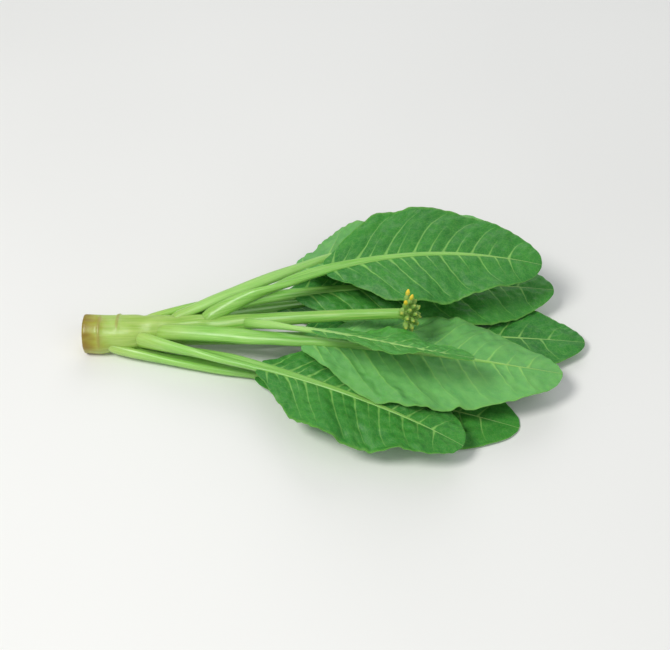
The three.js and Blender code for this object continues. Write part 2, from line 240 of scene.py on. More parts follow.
# Buds, finer
BUD_SIDES = 24
BUD_RINGS = np.linspace(0.06, 0.985, 15)  # as shares of a bud's length
BUD_STALK_LENGTH = 2.6
WAIST_SHARES = (0.4, 0.85)  # of the little stalk, between which it is slender
STALK_WAIST = 0.8  # of its radius
STALK_TOP = 1.25
CORE_POINTS = 16
CORE_DIMPLES = 0.06
DIMPLES_ROUND = 5
HEAD_LEAN = (4, 84)  # degrees that the innermost and the outermost buds lean away from the shoot
HEAD_CROWDING = 0.6
OPENING_BUDS = (14, 19, 22, 25)  # those that already show their petals
SEPAL_CREASE = 0.2
CREASE_WIDTH = 0.34
CREASE_FADE = 0.8  # mm above the little stalk over which the creases start
# The rolled petals that stick out of an opening bud: radius, and height above the bud's tip
PETAL_PROFILE = [
    (0.95, -1.9), (1.2, -1.0), (1.32, -0.1), (1.28, 0.7), (1.02, 1.4), (0.6, 1.95), (0.3, 2.2),
]
PETAL_FOOT = -2.2
PETAL_TIP = 2.3
PETAL_FOLD = 0.2
PETAL_TWIST = 0.9  # radians that the folds turn in a mm


def leaf(name, **values):
    return SimpleNamespace(name=name, **values)


# Leaves, with the values of the solids. shade is how dark the blade is.
LEAVES = [
    leaf("leaf_1", joint=12, around=-134, bend=(52, -24, 4), reach=(134, -28, 3), tip=(222, -62, 0),
         blade_from=0.44, half_width=35, turn=4, fold=0.16, curl=0.14, wave=3.6, cycles=2.6, phase=0.1,
         size=1, shade=0.45),
    leaf("leaf_2", joint=15, around=128, bend=(54, 24, 4), reach=(140, 31, 3), tip=(232, 62, 0),
         blade_from=0.46, half_width=35, turn=-5, fold=0.12, curl=0.12, wave=3.2, cycles=2.3, phase=0.55,
         size=1, shade=0.8),
    leaf("leaf_3", joint=44, around=-172, bend=(78, -1, 3), reach=(160, 2, 13), tip=(264, -4, 6),
         blade_from=0.42, half_width=33, turn=3, fold=0.1, curl=0.1, wave=2.8, cycles=2.2, phase=0.3,
         size=0.92, shade=0.9),
    leaf("leaf_4", joint=30, around=-74, bend=(58, -24, 18), reach=(126, -44, 22), tip=(190, -84, 13),
         blade_from=0.45, half_width=30, turn=4, fold=0.2, curl=0.2, wave=3.6, cycles=2.4, phase=0.8,
         size=0.95, shade=0.65),
    leaf("leaf_5", joint=33, around=72, bend=(62, 20, 17), reach=(150, 35, 23), tip=(250, 30, 14),
         blade_from=0.46, half_width=33, turn=-5, fold=0.12, curl=0.16, wave=3.2, cycles=2.5, phase=0.2,
         size=1, shade=0.55),
    leaf("leaf_6", joint=42, around=-26, bend=(72, -18, 26), reach=(150, -28, 30), tip=(246, -38, 17),
         blade_from=0.46, half_width=32, turn=180, fold=0.1, curl=-0.05, wave=2.8, cycles=2.4, phase=0.65,
         size=1, shade=0.5),
    leaf("leaf_7", joint=50, around=36, bend=(76, 16, 31), reach=(142, 46, 40), tip=(214, 76, 26),
         blade_from=0.46, half_width=31, turn=-170, fold=0.12, curl=-0.05, wave=3, cycles=2.3, phase=0.4,
         size=0.95, shade=0.35),
    leaf("leaf_8", joint=69, around=0, bend=(94, 10, 43), reach=(160, 36.5, 52), tip=(240, 26, 37),
         blade_from=0.44, half_width=30, turn=-12, fold=0.16, curl=0.14, wave=3.2, cycles=2.4, phase=0.9,
         size=0.88, shade=0.75),
    leaf("leaf_9", joint=94, around=-60, bend=(110, -22, 40), reach=(150, -49, 50), tip=(196, -52, 44),
         blade_from=0.36, half_width=16, turn=30, fold=0.2, curl=0.1, wave=1.8, cycles=2.2, phase=0.15,
         size=0.6, shade=0.25),
]


# Small helpers


def lerp(a, b, share):
    return a + (b - a) * share


def smooth(x):
    x = np.clip(x, 0, 1)
    return x * x * (3 - 2 * x)


def unit(v):
    return v / np.linalg.norm(v, axis=-1, keepdims=True)


def settle(height, floor):
    """A height that never goes below the floor, and meets it softly."""
    above = height - floor
    soft = floor + (above + SETTLE) ** 2 / (4 * SETTLE)
    return np.where(above > SETTLE, height, np.where(above < -SETTLE, floor, soft))


def ripples(rng, wavelength):
    """Smooth seeded noise of a point in a plane, about -1 to 1. It is a sum of waves."""
    angles = rng.uniform(0, 2 * np.pi, RIPPLE_WAVES)
    pitches = wavelength * rng.uniform(0.7, 1.5, RIPPLE_WAVES)
    phases = rng.uniform(0, 2 * np.pi, RIPPLE_WAVES)

    def noise(a, b):
        total = 0
        for angle, pitch, phase in zip(angles, pitches, phases):
            total = total + np.sin(2 * np.pi * (a * np.cos(angle) + b * np.sin(angle)) / pitch + phase)
        return total / np.sqrt(RIPPLE_WAVES)

    return noise


def put(name, data):
    """Puts an object in the scene."""
    made = bpy.data.objects.new(name, data)
    bpy.context.scene.collection.objects.link(made)
    return made


def add_piece(name, node, material, points, faces, attributes, uv=None):
    """Puts a smooth mesh in the scene as the piece that stands for a node.

    points and uv are in mm, and faces are arrays of triangles or quads. An attribute has a value for each
    point, or one for all."""
    mesh = bpy.data.meshes.new(name)
    mesh.vertices.add(len(points))
    mesh.vertices.foreach_set("co", (np.asarray(points) * MM).astype(np.float32).ravel())
    corners = np.concatenate([f.ravel() for f in faces])
    sizes = np.concatenate([np.full(len(f), f.shape[1]) for f in faces])
    mesh.loops.add(len(corners))
    mesh.loops.foreach_set("vertex_index", corners.astype(np.int32))
    mesh.polygons.add(len(sizes))
    starts = np.concatenate([[0], np.cumsum(sizes)[:-1]])
    mesh.polygons.foreach_set("loop_start", starts.astype(np.int32))
    mesh.polygons.foreach_set("loop_total", sizes.astype(np.int32))
    mesh.polygons.foreach_set("use_smooth", np.ones(len(sizes), bool))
    mesh.update(calc_edges=True)
    for key, values in attributes.items():
        layer = mesh.attributes.new(key, "FLOAT", "POINT")
        layer.data.foreach_set("value", np.full(len(points), np.ravel(values), np.float32))
    if uv is not None:
        layer = mesh.uv_layers.new(name="leaf_uv")
        layer.data.foreach_set("uv", np.asarray(uv, np.float32)[corners].ravel())
    mesh.materials.append(material)
    piece = put(name, mesh)
    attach(piece, "root")
    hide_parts(node)


def closed_tube(rows, sides, turned=False):
    """The faces over rings of points, closed by the two points that come after the rings.

    They face out where a ring turns from side to face, and with turned where it turns the other way."""
    starts = np.arange(rows)[:, None] * sides
    a, b = starts + np.arange(sides), starts + (np.arange(sides) + 1) % sides
    if turned:
        a, b = b, a
    quads = np.stack([a[:-1], a[1:], b[1:], b[:-1]], -1).reshape(-1, 4)
    first, last = np.full(sides, rows * sides), np.full(sides, rows * sides + 1)
    return [quads, np.stack([a[0], b[0], first], -1), np.stack([b[-1], a[-1], last], -1)]


def tube_uv(around, along):
    """UVs in mm of a closed tube, from the places round a ring and the rings' places along the tube."""
    uv = np.stack(np.meshgrid(around, along), -1).reshape(-1, 2)
    return np.append(uv, [[0, 0], [0, along[-1]]], 0)


# Stem


def stem_point(distance):
    distance = np.asarray(distance, float)
    past = RISE_SOFTNESS * np.log1p(np.exp((distance - STRAIGHT_LENGTH) / RISE_SOFTNESS))
    along = past / (STEM_LENGTH - STRAIGHT_LENGTH)
    height = AXIS_HEIGHT + SHOOT_RISE * along**RISE_POWER
    return np.stack([CUT_X + distance, SHOOT_LEAN * along**2, height], -1)


def stem_radius(distance):
    taper = np.exp(-((np.maximum(0, distance - FULL_LENGTH) / TAPER_LENGTH) ** TAPER_POWER))
    return lerp(SHOOT_RADIUS, STUB_RADIUS, taper) + RIM_FLARE * np.exp(-distance / RIM_LENGTH)


def scar_height(distance, angle):
    height = np.zeros(np.broadcast(distance, angle).shape)
    for where, around in SCARS:
        facing = np.cos(angle - np.pi - np.radians(around))
        along = np.maximum(0, 1 - np.abs(distance - where) / SCAR_WIDTH)
        height += SCAR_HEIGHT * smooth(along) * smooth((facing - SCAR_END) / (SCAR_FULL - SCAR_END))
    return height


def joint_swell(distance, angle):
    """The stem is thicker under each leaf that joins it, as if the stalk ran on down it."""
    height = np.zeros(np.broadcast(distance, angle).shape)
    for each in LEAVES:
        facing = np.cos(angle - np.pi - np.radians(each.around))
        past = distance - each.joint + ROOT_LEAD / 2
        along = np.where(past < 0, np.exp(-((past / NODE_RUN) ** 2)), np.exp(-((past / NODE_END) ** 2)))
        narrowing = lerp(*NODE_NARROWING, np.exp(-((past / (NODE_WIDE_SHARE * NODE_RUN)) ** 2)))
        height += NODE_SWELL * each.size * along * smooth(narrowing * facing - narrowing + 1)
    return height


def build_stem(material):
    rng = np.random.default_rng(SEED)
    lump = ripples(rng, STEM_LUMP_PITCH)
    distance = np.linspace(0, STEM_LENGTH, STEM_ROWS)[:, None]
    angle = (np.arange(STEM_SIDES) * 2 * np.pi / STEM_SIDES)[None, :]
    radius = stem_radius(distance) + scar_height(distance, angle) + joint_swell(distance, angle)
    slender = stem_radius(distance) / STUB_RADIUS
    radius = radius + RIDGE_HEIGHT * slender * np.sin(RIDGE_COUNT * angle + distance / RIDGE_TWIST)
    radius = radius + STEM_LUMPS * slender * lump(distance, STUB_RADIUS * np.abs(angle - np.pi))
    radius = radius * np.where(distance == 0, 1 - CUT_BEVEL / STUB_RADIUS, 1)
    centre = stem_point(distance[:, 0])
    along = unit(stem_point(distance[:, 0] + 0.5) - centre)
    side = unit(np.cross(along, UP))
    up = np.cross(side, along)
    out = side[:, None] * np.sin(angle)[..., None] - up[:, None] * np.cos(angle)[..., None]
    points = centre[:, None] + out * radius[..., None]

    # The cut face, from the rim inwards
    shares = np.linspace(1, 0, CUT_RINGS + 1)[1:-1, None]
    face = lerp(centre[0], points[:1], shares[..., None])
    sink = PITH_SINK * smooth((PITH_SHARE - shares) / PITH_SOFTNESS + 0.5)
    rise = FIBRE_RISE * np.exp(-(((shares - FIBRE_SHARE) / FIBRE_WIDTH) ** 2))
    marks = CUT_MARK_HEIGHT * np.sin(2 * np.pi * (face[..., 1:] @ CUT_MARK_SLOPE) / CUT_MARK_PITCH)
    rounding = CUT_BEVEL * smooth((BEVEL_SHARE - shares) / BEVEL_WIDTH)
    face[..., 0] += sink - rise - rounding + marks

    rings = np.concatenate([face[::-1], points])
    rings[..., 2] = np.maximum(rings[..., 2], 0)
    all_points = np.append(rings.reshape(-1, 3), [face[-1].mean(0), stem_point(STEM_LENGTH)], 0)

    is_cut = np.append(np.ones(CUT_RINGS - 1), np.zeros(STEM_ROWS))
    radial = np.append(shares[::-1, 0], np.ones(STEM_ROWS))
    travelled = np.append(np.zeros(CUT_RINGS - 1), distance[:, 0])
    scar = np.zeros(rings.shape[:2])
    scar[CUT_RINGS - 1 :] = scar_height(distance, angle) / SCAR_HEIGHT
    attributes = {
        "cut": np.append(np.repeat(is_cut, STEM_SIDES), [1, 0]),
        "radial": np.append(np.repeat(radial, STEM_SIDES), [0, 1]),
        "along": np.append(np.repeat(travelled, STEM_SIDES), [0, STEM_LENGTH]),
        "scar": np.append(scar, [0, 0]),
    }
    uv = tube_uv(angle[0] * STUB_RADIUS, travelled)
    faces = closed_tube(len(rings), STEM_SIDES)
    add_piece("fine_stem", "stem", material, all_points, faces, attributes, uv)


# Leaves: the line that the stalk and the midrib follow


def leaf_line(one):
    """The leaf's line, and the frame on it: side is across the blade, face out of its upper side."""
    around = np.radians(one.around)
    depth = ROOT_DEPTH * stem_radius(one.joint)
    root = stem_point(one.joint - ROOT_LEAD) + depth * np.array([0, np.sin(around), np.cos(around)])
    handles = [root] + [np.array(p, float) for p in (one.bend, one.reach, one.tip)]
    start_roll = one.around - 180 if one.around > 0 else one.around + 180

    def line(t):
        t = np.asarray(t, float)[..., None]
        s = 1 - t
        a, b, c, d = handles
        point = s**3 * a + 3 * s**2 * t * b + 3 * s * t**2 * c + t**3 * d
        along = unit(s**2 * (b - a) + 2 * s * t * (c - b) + t**2 * (d - c))
        level = unit(np.cross(along, UP))
        upright = np.cross(level, along)
        roll = np.radians(lerp(start_roll, one.turn, smooth(t / one.blade_from)))
        side = level * np.cos(roll) + upright * np.sin(roll)
        face = upright * np.cos(roll) - level * np.sin(roll)
        return point, side, face

    return line


def rib_half_width(one, u):
    """Half the width of the midrib, which in the end thins to a point at the leaf's tip."""
    taper = np.clip(u / RIB_REACH, 0, 1) ** RIB_TAPER_POWER
    width = lerp(RIB_START * STALK_HALF_WIDTH * one.size, RIB_END_HALF_WIDTH, taper)
    return lerp(width, RIB_POINT, smooth((u - POINT_SHARE) / (1 - POINT_SHARE)))


def blade_half_width(one, u, half):
    egg = np.sin(np.pi * np.clip(u, 0, 1) ** EGG_SKEW) ** EGG_ROUNDNESS
    base = 1 - BASE_NARROWING * (1 - smooth(u / BASE_SHARE))
    lobe = EDGE_LOBES * u + one.phase + SIDE_SHIFT * half
    tip = TIP_HALF_WIDTH * (1 - smooth((u - TIP_SHARE) / (1 - TIP_SHARE)))
    return tip + one.half_width * egg * base * (1 + EDGE_UNEVENNESS * np.sin(2 * np.pi * lobe))


def blade_length(one):
    points = leaf_line(one)(np.linspace(one.blade_from, 1, 60))[0]
    return np.linalg.norm(np.diff(points, axis=0), axis=1).sum()


# Blades. Their rows of points run the way of the side veins, so each vein lies along one row.


def for_size(count, least, one):
    """A count for a leaf of size 1, less for a smaller leaf, but not less than a share of it."""
    return round(count * lerp(least, 1, one.size))


def sweep(start, v, bend):
    """Where along the blade a row that starts at a share of the midrib has got to, v of the way out."""
    swept = VEIN_SWEEP * bend * smooth(start / SWEEP_START) * (1 - start**SWEEP_END_POWER)
    return start + swept * (SWEEP_STRAIGHT * v + (1 - SWEEP_STRAIGHT) * v**3)


def half_veins(one, starts, rng):
    """The side veins of half a blade: their rows, their shares of a full vein, and how far out they go."""
    veins = []
    count = max(FEWEST_VEINS, for_size(VEIN_COUNT, 0.35, one))
    places = [(k + 0.4 + rng.uniform(-VEIN_JITTER, VEIN_JITTER)) / count for k in range(count)]
    places = [FIRST_VEIN + VEIN_SPAN * place**VEIN_CROWDING for place in places]
    for k, place in enumerate(places):
        veins.append((place, lerp(1.0, UPPER_VEIN, place), 1.0))
        if k + 1 < count:
            between = lerp(place, places[k + 1], rng.uniform(*SMALL_VEIN_PLACE))
            veins.append((between, SMALL_VEIN, rng.uniform(*SMALL_VEIN_REACH)))
    return [(np.abs(starts - place).argmin(), share, reach) for place, share, reach in veins]


def vein_field(one, half, u, v, length, veins, rng):
    """At each point: how much it is vein, and how far it is from a vein and from a full side vein.

    A vein is (where it lies in each column as a share of the blade, its share of a full vein, its reach)."""
    strength = np.zeros(u.shape)
    nearest = np.full(u.shape, FAR)
    nearest_big = nearest.copy()
    width = blade_half_width(one, u, half)
    big = [vein for vein in veins if vein[2] == 1.0]
    lines = [(at, share, 0.0, reach) for at, share, reach in veins]
    for (at, share, _), (before, _, _) in zip(big[1:], big):
        # A fork leaves the vein on the side of the stalk
        leaves = rng.uniform(*FORK_FROM)
        past = np.clip((v[0] - leaves) / (1 - leaves), 0, 1)
        back = FORK_SPREAD * (at - before) * past**FORK_POWER
        lines.append((at - back, share * FORK, leaves, 1.0))
    for at, share, first, reach in lines:
        slope = np.gradient(at) / np.gradient(v[0]).clip(1e-3) * length
        lean = width / np.hypot(width, slope)
        gap = np.abs(u - at) * length * lean
        thin = VEIN_HALF_WIDTH * share * (1 - VEIN_TAPER * v / reach)
        thin = thin + VEIN_FOOT * share * np.exp(-v * width / VEIN_FOOT_REACH)
        thin = np.maximum(thin, LEAST_VEIN)
        shown = (1 - smooth((v / reach - VEIN_FADES) / VEIN_FADE)) * (v >= first)
        full = np.minimum(1, thin / VEIN_HALF_WIDTH)
        strength = np.maximum(strength, shown * full * np.exp(-((gap / thin) ** 2)))
        nearest = np.minimum(nearest, np.where(shown > 0.3, gap, FAR))
        if share > FORK and reach == 1.0:
            nearest_big = np.minimum(nearest_big, gap)
    return strength, nearest, nearest_big


def build_half(one, half, line, length, rng):
    """The middle layer of half a blade as a grid, from inside the midrib to the edge, and values on it."""
    rows = for_size(BLADE_ROWS, 0.2, one)
    columns = for_size(BLADE_COLUMNS, 0.3, one)
    pucker, sway = ripples(rng, PUCKER_PITCH), ripples(rng, SWAY_PITCH)
    edge_noise, nibble_noise = ripples(rng, EDGE_PITCH), ripples(rng, NIBBLE_PITCH)
    even = np.linspace(0, 1, rows)
    starts = lerp(even, (1 - np.cos(np.pi * even)) / 2, ROW_CROWDING)
    c = np.linspace(0, 1, columns - RIB_COLUMNS + 1)
    v = np.concatenate([np.zeros(RIB_COLUMNS), 1 - (1 - c) ** COLUMN_CROWDING])[None, :]
    bend = 1 + ROW_UNEVENNESS * np.sin(2 * np.pi * (3 * starts + rng.uniform()))[:, None]
    u = sweep(starts[:, None], v, bend)
    v = np.broadcast_to(v, u.shape)
    along = u * length
    point, side, face = line(lerp(one.blade_from, 1, u))

    width = blade_half_width(one, u, half)
    row = half * NIBBLE_ROW
    nibbled = edge_noise(along, row) + FINE_NIBBLES * nibble_noise(along, row)
    width = width * (1 + NIBBLE * nibbled)
    inner = rib_half_width(one, u) * FOOT_HIDDEN
    hidden = np.concatenate([np.linspace(0, 1, RIB_COLUMNS + 1)[:-1], np.ones(columns - RIB_COLUMNS + 1)])
    from_rib = (width + GAP) * v
    across = inner * hidden + from_rib

    turns = one.cycles * u + one.phase + (SIDE_SHIFT if half > 0 else 0)
    swell = np.sin(np.pi * np.clip(u, 0, 1)) ** EGG_ROUNDNESS * np.sin(2 * np.pi * turns)
    out = width * (one.fold * v - one.curl * v**2) + one.wave * swell * v**WAVE_REACH
    ruffle = edge_noise(along * RUFFLE_STRETCH[0], half * RUFFLE_ROWS[0])
    ruffle = ruffle + FINE_RUFFLES * nibble_noise(along * RUFFLE_STRETCH[1], half * RUFFLE_ROWS[1])
    fade = np.sin(np.pi * np.clip(u, 0, 1)) ** END_FADE
    out = out + RUFFLE_HEIGHT * one.size * fade * v**RUFFLE_REACH * ruffle

    veins = [(u[row], share, reach) for row, share, reach in half_veins(one, starts, rng)]
    strength, nearest, big = vein_field(one, half, u, v, length, veins, rng)
    big, nearest = np.minimum(big, from_rib), np.minimum(nearest, from_rib)
    calm = 1 - CALM * smooth((v - CALM_SHARE) / (1 - CALM_SHARE))
    quilt = QUILT_HEIGHT * (1 - np.exp(-((big / QUILT_REACH) ** 2)))
    quilt = quilt + SMALL_QUILT_HEIGHT * (1 - np.exp(-((nearest / SMALL_QUILT_REACH) ** 2)))
    # The veins sink as far as the blade between them rises
    level = QUILT_LEVEL * (QUILT_HEIGHT + SMALL_QUILT_HEIGHT) * smooth(from_rib / QUILT_FROM)
    relief = one.size * calm * fade * (quilt - level)
    relief = relief + PUCKER_HEIGHT * pucker(along, half * across) * smooth(from_rib / PUCKER_FROM)
    relief = relief + SWAY_HEIGHT * sway(along, half * across) * smooth(from_rib / SWAY_FROM)

    thickness = lerp(MIDDLE_THICKNESS, EDGE_THICKNESS, smooth(v / THIN_BY))
    rim = np.clip((1 - v) / EDGE_ROUNDING, 0, 1) * np.clip((1 - starts) / END_ROUNDING, 0, 1)[:, None]
    thickness = thickness * np.sqrt(1 - (1 - rim) ** 2)
    middle = point + side * (half * across)[..., None] + face * (out + relief)[..., None]
    return SimpleNamespace(
        middle=middle, face=face, strength=strength, thickness=thickness, v=v, rim=rim, across=half * across,
        start=np.broadcast_to(starts[:, None] * length, u.shape),
    )


def build_blade(one, material, rng):
    line = leaf_line(one)
    length = blade_length(one)
    halves = {half: build_half(one, half, line, length, rng) for half in (-1, 1)}

    def whole(key):
        """Both halves side by side, sharing the middle column."""
        return np.concatenate([getattr(halves[-1], key)[:, :0:-1], getattr(halves[1], key)], 1)

    middle, thickness, strength = whole("middle"), whole("thickness"), whole("strength")
    middle[..., 2] = settle(middle[..., 2], BLADE_THICKNESS / 2)
    normal = np.cross(np.gradient(middle, axis=1), np.gradient(middle, axis=0))
    normal = unit(normal + 1e-9 * whole("face"))
    upper = middle + normal * (thickness / 2)[..., None]
    drop = thickness / 2 + RIDGE_UNDER * one.size * strength * smooth(whole("rim"))
    lower = middle - normal * drop[..., None]
    upper[..., 2] = np.maximum(upper[..., 2], np.minimum(thickness, BLADE_THICKNESS))
    lower[..., 2] = np.maximum(lower[..., 2], 0)

    # The two faces share the points of the outline
    rows, wide = thickness.shape
    index = np.arange(rows * wide).reshape(rows, wide)
    below = index + rows * wide
    for edge in (np.s_[0, :], np.s_[-1, :], np.s_[:, 0], np.s_[:, -1]):
        below[edge] = index[edge]
        upper[edge] = (upper[edge] + lower[edge]) / 2
    quads = []
    for grid, flip in ((index, False), (below, True)):
        a, b, c, d = grid[:-1, :-1], grid[:-1, 1:], grid[1:, 1:], grid[1:, :-1]
        quads.append(np.stack([a, d, c, b] if flip else [a, b, c, d], -1).reshape(-1, 4))
    used, compact = np.unique(np.concatenate(quads), return_inverse=True)

    def both(top, bottom):
        flat = [values.reshape(rows * wide, -1) for values in (top, bottom)]
        return np.concatenate(flat)[used]

    edge = whole("v")
    attributes = {
        "vein": both(strength, strength),
        "edge": both(edge, edge),
        "under": both(np.zeros((rows, wide)), np.ones((rows, wide))),
        "shade": one.shade,
    }
    flat = np.stack([whole("across"), whole("start")], -1)
    node, points, faces = one.name + "_blade", both(upper, lower), [compact.reshape(-1, 4)]
    add_piece("fine_" + node, node, material, points, faces, attributes, both(flat, flat))


def stalk_section(angle, groove, bulge):
    """Across and up of a stalk's outline, as shares of its half width and half thickness."""
    across, up = np.cos(angle), np.sin(angle)
    upper = bulge * np.abs(up) ** UPPER_ROUNDNESS - groove * np.exp(-((across / GROOVE_WIDTH) ** 2))
    lower = -np.abs(up) ** LOWER_ROUNDNESS
    return across, np.where(up > 0, upper, lower)


def build_stalk(one, material, rng):
    line = leaf_line(one)
    length = blade_length(one)
    share = np.linspace(0, 1, STALK_ROWS)[:-1]
    u = np.linspace(0, 1, RIB_ROWS) ** RIB_CROWDING
    t = np.concatenate([share * one.blade_from, lerp(one.blade_from, 1, u)])
    flare = np.exp(-share / FLARE_SHARE)
    clasping = ROOT_FLARE * stem_radius(one.joint) / STUB_RADIUS
    thick = STALK_HALF_THICKNESS * one.size
    stalk_end, rib_first = STALK_HALF_WIDTH * one.size, rib_half_width(one, 0)
    neck = smooth((share - NECK_SHARE) / (1 - NECK_SHARE))
    stalk_width = lerp(stalk_end, rib_first, neck) * (1 + clasping * flare)
    half_width = np.append(stalk_width, rib_half_width(one, u))
    rib_thickness = RIB_THICKNESS * rib_half_width(one, u)
    rib_thickness = lerp(THICKNESS_AT_BLADE * thick, rib_thickness, smooth(u / RIB_THINS_BY))
    stalk_thickness = thick * lerp(THICKNESS_AT_ROOT, THICKNESS_AT_BLADE, share) * (1 - ROOT_THINNING * flare)
    half_thickness = np.append(stalk_thickness, rib_thickness)
    on_rib = np.concatenate([np.zeros(len(share)), smooth(u / RIB_SHAPED_BY)])[:, None]
    near_root = np.concatenate([flare, np.zeros(len(u))])[:, None]

    angle = (np.arange(STALK_SIDES) * 2 * np.pi / STALK_SIDES)[None, :]
    groove = lerp(GROOVE_DEPTH, RIB_GROOVE, on_rib) * (1 - ROOT_FILLING * near_root)
    x, y = stalk_section(angle, groove, lerp(UPPER_BULGE, RIB_BULGE, on_rib))
    lumps = ripples(rng, STALK_LUMP_PITCH)
    travelled = t * length / (1 - one.blade_from)
    swell = 1 + STALK_LUMPS * lumps(travelled[:, None], angle * LUMP_SPREAD)
    # The ridges leave out the foot, the midrib and the channel
    ridge = STALK_RIDGE_HEIGHT * (1 - on_rib) * (1 - np.minimum(1, 2 * near_root))
    ridge = ridge * np.cos(2 * STALK_RIDGES * angle) * (np.sin(angle) < RIDGES_UP_TO)
    x = x * (swell + ridge)
    y = y * (swell + ridge) + CLASP * near_root * x**2
    # The midrib stands out of both faces of the blade, right to the tip
    proud = MIDDLE_THICKNESS / 2 * on_rib * np.sign(np.sin(angle)) * np.abs(np.sin(angle)) ** 0.5
    point, side, face = line(t)
    dive = np.concatenate([ROOT_DIVE * one.size * (1 - smooth(share / DIVE_SHARE)), np.zeros(len(u))])
    point = point + unit(stem_point(point[:, 0] - CUT_X) - point) * dive[:, None]
    # On the surface the blade settles, and its midrib with it
    point[:, 2] = lerp(point[:, 2], settle(point[:, 2], BLADE_THICKNESS / 2), on_rib[:, 0])
    rings = point[:, None] + side[:, None] * (x * half_width[:, None])[..., None]
    rings = rings + face[:, None] * (y * half_thickness[:, None] + proud)[..., None]
    rings[..., 2] = np.maximum(rings[..., 2], 0)

    points = np.append(rings.reshape(-1, 3), [rings[0].mean(0), rings[-1].mean(0)], 0)
    along_stalk, along_rib = np.append(share, np.ones(len(u))), np.append(np.zeros(len(share)), u)
    attributes = {
        "stalk": np.append(np.repeat(along_stalk, STALK_SIDES), [0, 1]),
        "rib": np.append(np.repeat(along_rib, STALK_SIDES), [0, 1]),
        "joint": one.joint,
        "shade": one.shade,
    }
    uv = tube_uv(angle[0] * STALK_HALF_WIDTH, travelled)
    node, faces = one.name + "_stalk", closed_tube(len(t), STALK_SIDES)
    add_piece("fine_" + node, node, material, points, faces, attributes, uv)


# Buds


def lathe(profile, shape):
    """A closed skin round the z axis. profile is (radius, height), first and last on the axis."""
    radius, height = np.array(profile[1:-1], float).T
    angle = np.arange(BUD_SIDES) * 2 * np.pi / BUD_SIDES
    radius = radius[:, None] * shape(angle[None, :], height[:, None])
    heights = np.repeat(height[:, None], BUD_SIDES, 1)
    rings = np.stack([radius * np.cos(angle), radius * np.sin(angle), heights], -1)
    points = np.append(rings.reshape(-1, 3), [(0, 0, profile[0][1]), (0, 0, profile[-1][1])], 0)
    return points, closed_tube(len(rings), BUD_SIDES, turned=True)


def turned_to(direction, axis=(0, 0, 1)):
    """A rotation that takes an axis to a direction."""
    return np.array(Vector(axis).rotation_difference(Vector(direction)).to_matrix())


def bud_profile(size, stalk_length):
    """Radius and height of a bud and its little stalk."""
    length, radius = BUD_LENGTH * size, BUD_RADIUS * size
    thin = BUD_STALK_RADIUS * STALK_WAIST
    profile = [(0, 0), (BUD_STALK_RADIUS, 0)] + [(thin, share * stalk_length) for share in WAIST_SHARES]
    profile.append((BUD_STALK_RADIUS * STALK_TOP, stalk_length))
    for share in BUD_RINGS:
        swell = np.sin(np.pi * share**BUD_SKEW) ** BUD_ROUNDNESS * (1 - BUD_TAPER * share)
        profile.append((max(radius * swell, BUD_STALK_RADIUS * (1 - share)), stalk_length + length * share))
    profile.append((0, stalk_length + length))
    return profile


def build_buds(material):
    rng = np.random.default_rng(SEED + 1)
    end = stem_point(STEM_LENGTH)
    along = unit(end - stem_point(STEM_LENGTH - 1))
    centre = end + along * HEAD_RADIUS / 2
    to_along = turned_to(along)
    parts = []  # points, faces, and the values per point

    def add(points, faces, petal, height):
        parts.append((points, faces, np.full(len(points), petal, float), height))

    core = [(HEAD_RADIUS * np.sin(a), -HEAD_RADIUS * np.cos(a)) for a in np.linspace(0, np.pi, CORE_POINTS)]
    core[0], core[-1] = (0, -HEAD_RADIUS), (0, HEAD_RADIUS)

    def dimples(angle, height):
        return 1 + CORE_DIMPLES * np.sin(DIMPLES_ROUND * angle + height)

    points, faces = lathe(core, dimples)
    add(points @ to_along.T + centre, faces, 0, np.zeros(len(points)))

    for k in range(BUD_COUNT):
        share = (k + 0.5) / BUD_COUNT
        lean = np.radians(lerp(*HEAD_LEAN, share**HEAD_CROWDING))
        spin = np.radians(k * GOLDEN_ANGLE)
        # The solids turn the y axis to the shoot's direction, so the same is done here
        local = np.array([np.cos(spin) * np.sin(lean), np.cos(lean), np.sin(spin) * np.sin(lean)])
        out = turned_to(along, (0, 1, 0)) @ local
        size = lerp(YOUNGEST_SIZE, 1, share)
        stalk_length = HEAD_RADIUS / 2 + BUD_STALK_LENGTH
        twist = rng.uniform(0, np.pi)

        def sepals(angle, height):
            """Four sepals with a crease between them, fading out on the little stalk."""
            crease = np.exp(-((np.cos(2 * (angle + twist)) / CREASE_WIDTH) ** 2))
            return 1 - SEPAL_CREASE * crease * smooth((height - stalk_length) / CREASE_FADE)

        points, faces = lathe(bud_profile(size, stalk_length), sepals)
        height = np.clip((points[:, 2] - stalk_length) / (BUD_LENGTH * size), 0, 1)
        turn = turned_to(out)
        base = centre + out * HEAD_RADIUS / 2
        add(points @ turn.T + base, faces, 0, height)
        if k in OPENING_BUDS:
            top = stalk_length + BUD_LENGTH * size
            rows = [(r * size, top + h) for r, h in PETAL_PROFILE]
            profile = [(0, top + PETAL_FOOT)] + rows + [(0, top + PETAL_TIP)]

            def folded(angle, height):
                return 1 - PETAL_FOLD * np.abs(np.sin(2 * angle + PETAL_TWIST * height + twist))

            points, faces = lathe(profile, folded)
            opened = np.clip((points[:, 2] - top - PETAL_FOOT) / (PETAL_TIP - PETAL_FOOT), 0, 1)
            add(points @ turn.T + base, faces, 1, opened)

    all_points, all_faces, petals, heights = zip(*parts)
    offsets = np.cumsum([0] + [len(points) for points in all_points])
    moved = [face + offset for faces, offset in zip(all_faces, offsets) for face in faces]
    quads, triangles = ([face for face in moved if face.shape[1] == corners] for corners in (4, 3))
    points, faces = np.concatenate(all_points), quads + triangles
    attributes = {"petal": np.concatenate(petals), "height": np.concatenate(heights)}
    add_piece("fine_buds", "bud_head", material, points, faces, attributes)


# Materials. Colours are 0 to 255 on screen, and a pair is the two that a patchy surface goes between.

